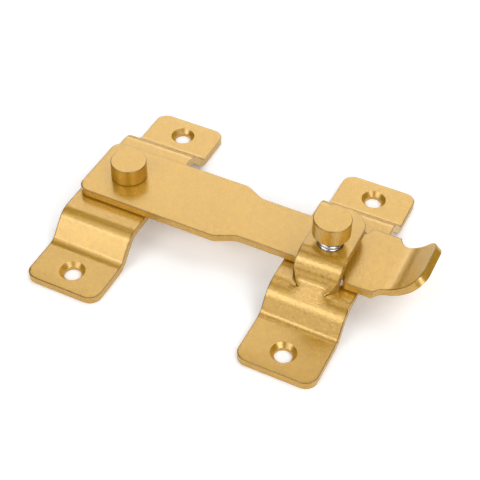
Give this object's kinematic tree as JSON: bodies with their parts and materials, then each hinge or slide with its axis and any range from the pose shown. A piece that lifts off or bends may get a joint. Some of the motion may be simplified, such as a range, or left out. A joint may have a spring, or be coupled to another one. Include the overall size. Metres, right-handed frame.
{
  "type": "barn door latch",
  "caption": "Flip-over door latch: a flat bar with a curled finger lip swings on a folded strap bracket into a keeper strap, where a thumb screw through a bent-over tongue clamps it.",
  "frame": {"origin": "on the mounting face, under the pivot, midway between the pivot bracket's two screw holes", "axes": "+X along the closed bar from the pivot to the keeper, +Y towards the keeper's open side, +Z away from the door"},
  "size_m": [0.1143, 0.0874, 0.0288],
  "materials": {
    "gold_paint": "satin metallic gold",
    "bright_zinc": "bright zinc plate"
  },
  "bodies": {
    "brackets": {"pivot_bracket": "gold_paint", "keeper_bracket": "gold_paint", "pivot_rivet": "gold_paint", "pivot_washer": "bright_zinc"},
    "bar": {"latch_bar": "gold_paint"},
    "screw": {"lock_stud": "bright_zinc"},
    "knob": {"lock_knob": "gold_paint"}
  },
  "joints": [
    {"name": "bar_swing", "type": "hinge", "parent": "brackets", "child": "bar", "pos_m": [0, 0, 0.0107], "axis": [0, 0, 1], "range_deg": [0, 180]},
    {"name": "screw_travel", "type": "slide", "parent": "brackets", "child": "screw", "axis": [0, 0, 1], "range_m": [-0.0004, 0.0028]},
    {"name": "knob_turn", "type": "hinge", "parent": "screw", "child": "knob", "pos_m": [0.071, -0.0043, 0.0229], "axis": [0, 0, 1], "range_deg": [-120, 810]}
  ],
  "couplings": [
    {"joint": "knob_turn", "follows": "screw_travel", "rad_per_m": 5026.5}
  ]
}
